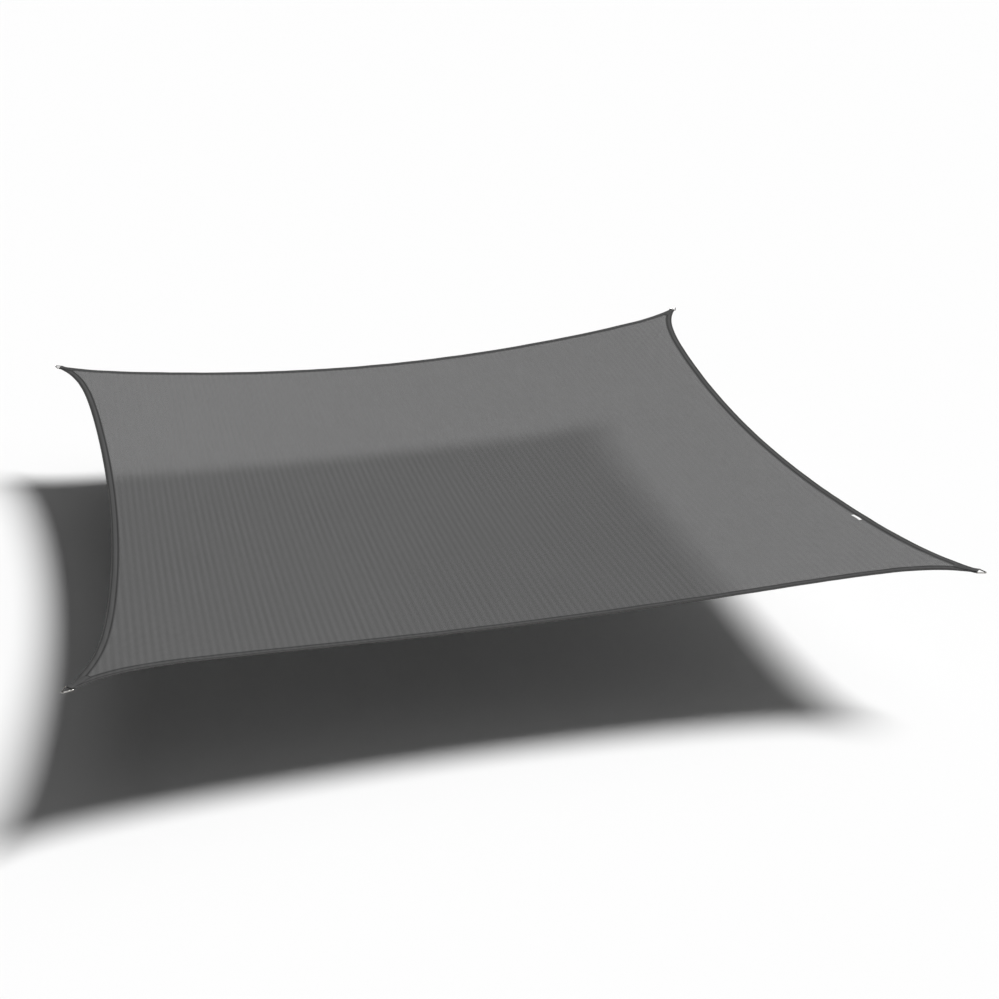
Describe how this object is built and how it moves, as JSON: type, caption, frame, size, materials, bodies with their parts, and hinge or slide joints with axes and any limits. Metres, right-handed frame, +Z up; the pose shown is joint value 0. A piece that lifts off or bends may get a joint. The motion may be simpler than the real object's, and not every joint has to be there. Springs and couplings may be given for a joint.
{
  "type": "shade sail",
  "caption": "Square knitted shade sail with hollow-cut hemmed edges, hung level by a steel triangular ring in a webbing fold at each corner.",
  "frame": {"origin": "middle of the whole sail's box: mid span both ways, halfway up between the lowest place of the cloth and the top of the highest ring", "axes": "+Z up as the sail hangs; X along the near edge from left to right; Y from the near edge to the far edge, so the tag is on the +X edge"},
  "size_m": [4.068, 4.0679, 0.1934],
  "materials": {
    "knitted_cloth": "charcoal knitted shade cloth, matt and slightly see-through",
    "corner_webbing": "dark woven polyester webbing",
    "ring_steel": "polished stainless steel wire",
    "white_tape": "plain white satin tape, blank"
  },
  "bodies": {
    "root": {"sail_cloth": "knitted_cloth", "webbing_near_left": "corner_webbing", "webbing_near_right": "corner_webbing", "webbing_far_right": "corner_webbing", "webbing_far_left": "corner_webbing", "ring_near_left": "ring_steel", "ring_near_right": "ring_steel", "ring_far_right": "ring_steel", "ring_far_left": "ring_steel", "care_tag": "white_tape"}
  },
  "joints": []
}
